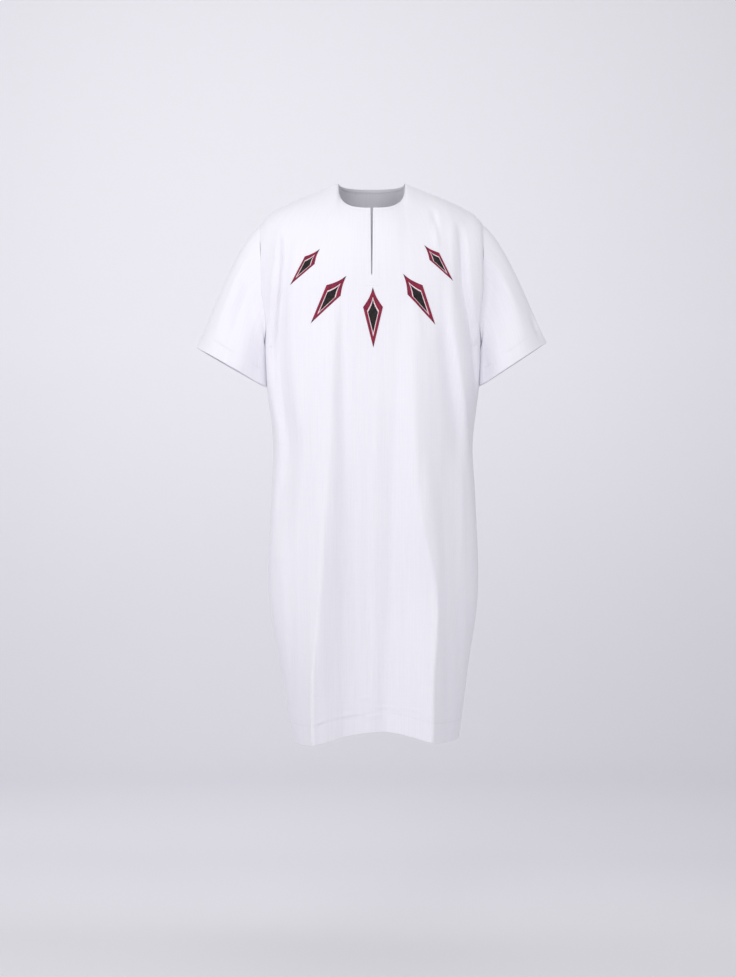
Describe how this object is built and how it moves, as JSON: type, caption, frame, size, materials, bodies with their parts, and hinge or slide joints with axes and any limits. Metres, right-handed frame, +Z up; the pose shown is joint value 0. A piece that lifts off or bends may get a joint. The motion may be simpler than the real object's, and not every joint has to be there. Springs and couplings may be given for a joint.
{
  "type": "short-sleeved african kaftan shirt",
  "caption": "Long hollow kaftan shirt in its worn form, with wide short sleeves, a round slit neck and an arc of kite-shaped appliques.",
  "frame": {"origin": "where the shirt hangs on the shoulders: on its centre plane, level with the high shoulder points beside the neck", "axes": "+Z up, -Y the front, +X the wearer's left"},
  "size_m": [0.7304, 0.3281, 1.1578],
  "materials": {
    "white_cotton": "crisp matte plain weave",
    "red_embroidery": "satin stitch with a soft sheen",
    "black_embroidery": "dense matte stitch"
  },
  "bodies": {
    "root": {"front_panel": "white_cotton", "back_panel": "white_cotton", "sleeve_right": "white_cotton", "sleeve_left": "white_cotton", "kite_center_border": "red_embroidery", "kite_center_center": "black_embroidery", "kite_right_inner_border": "red_embroidery", "kite_right_inner_center": "black_embroidery", "kite_right_outer_border": "red_embroidery", "kite_right_outer_center": "black_embroidery", "kite_left_inner_border": "red_embroidery", "kite_left_inner_center": "black_embroidery", "kite_left_outer_border": "red_embroidery", "kite_left_outer_center": "black_embroidery"}
  },
  "joints": []
}
